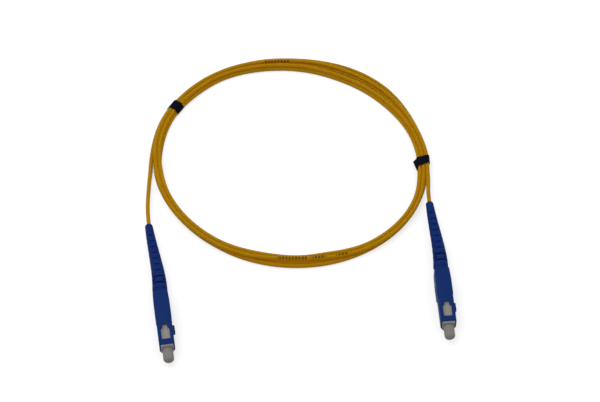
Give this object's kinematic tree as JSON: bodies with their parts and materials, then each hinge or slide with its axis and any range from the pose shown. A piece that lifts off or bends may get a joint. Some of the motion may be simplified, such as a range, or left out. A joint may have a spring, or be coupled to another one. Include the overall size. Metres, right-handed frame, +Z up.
{
  "type": "fibre optic patch cable",
  "caption": "Simplex fibre optic patch cable lying in a loose taped coil, with a square push-pull connector, slotted boot and dust cap on each end.",
  "frame": {"origin": "on the table, under the middle of the box round the two connectors", "axes": "+X across from the left connector to the right one, +Y from the plugs towards the coil, +Z up"},
  "size_m": [0.1518, 0.1851, 0.0094],
  "materials": {
    "grip_plastic": "satin moulded blue",
    "frame_plastic": "satin off-white",
    "ferrule_ceramic": "ground white",
    "plated_metal": "bright plated",
    "spring_steel": "drawn wire",
    "crimp_metal": "plain",
    "boot_rubber": "satin moulded blue",
    "cap_plastic": "soft grey",
    "cable_jacket": "satin yellow",
    "tape": "black film"
  },
  "bodies": {
    "cable": {"cable_coil": "cable_jacket", "cable_lead_left": "cable_jacket", "tape_band_left": "tape", "boot_left": "boot_rubber", "plug_frame_left": "frame_plastic", "stop_ring_left": "plated_metal", "crimp_ring_left": "crimp_metal", "ferrule_spring_left": "spring_steel", "cable_lead_right": "cable_jacket", "tape_band_right": "tape", "boot_right": "boot_rubber", "plug_frame_right": "frame_plastic", "stop_ring_right": "plated_metal", "crimp_ring_right": "crimp_metal", "ferrule_spring_right": "spring_steel"},
    "grip_left": {"grip_left": "grip_plastic"},
    "ferrule_left": {"ferrule_left": "ferrule_ceramic", "ferrule_flange_left": "plated_metal"},
    "dust_cap_left": {"dust_cap_left": "cap_plastic"},
    "grip_right": {"grip_right": "grip_plastic"},
    "ferrule_right": {"ferrule_right": "ferrule_ceramic", "ferrule_flange_right": "plated_metal"},
    "dust_cap_right": {"dust_cap_right": "cap_plastic"}
  },
  "joints": [
    {"name": "grip_left_release", "type": "slide", "parent": "cable", "child": "grip_left", "axis": [-0.1495, 0.9888, 0], "range_m": [0, 0.002]},
    {"name": "ferrule_left_float", "type": "slide", "parent": "cable", "child": "ferrule_left", "axis": [-0.1495, 0.9888, 0], "range_m": [0, 0.001], "stiffness_N_per_m": 1000, "deforming": ["ferrule_spring_left"]},
    {"name": "dust_cap_left_pull", "type": "slide", "parent": "ferrule_left", "child": "dust_cap_left", "axis": [0.1495, -0.9888, 0], "range_m": [0, 0.012]},
    {"name": "grip_right_release", "type": "slide", "parent": "cable", "child": "grip_right", "axis": [-0.075, 0.9972, 0], "range_m": [0, 0.002]},
    {"name": "ferrule_right_float", "type": "slide", "parent": "cable", "child": "ferrule_right", "axis": [-0.075, 0.9972, 0], "range_m": [0, 0.001], "stiffness_N_per_m": 1000, "deforming": ["ferrule_spring_right"]},
    {"name": "dust_cap_right_pull", "type": "slide", "parent": "ferrule_right", "child": "dust_cap_right", "axis": [0.075, -0.9972, 0], "range_m": [0, 0.012]}
  ]
}
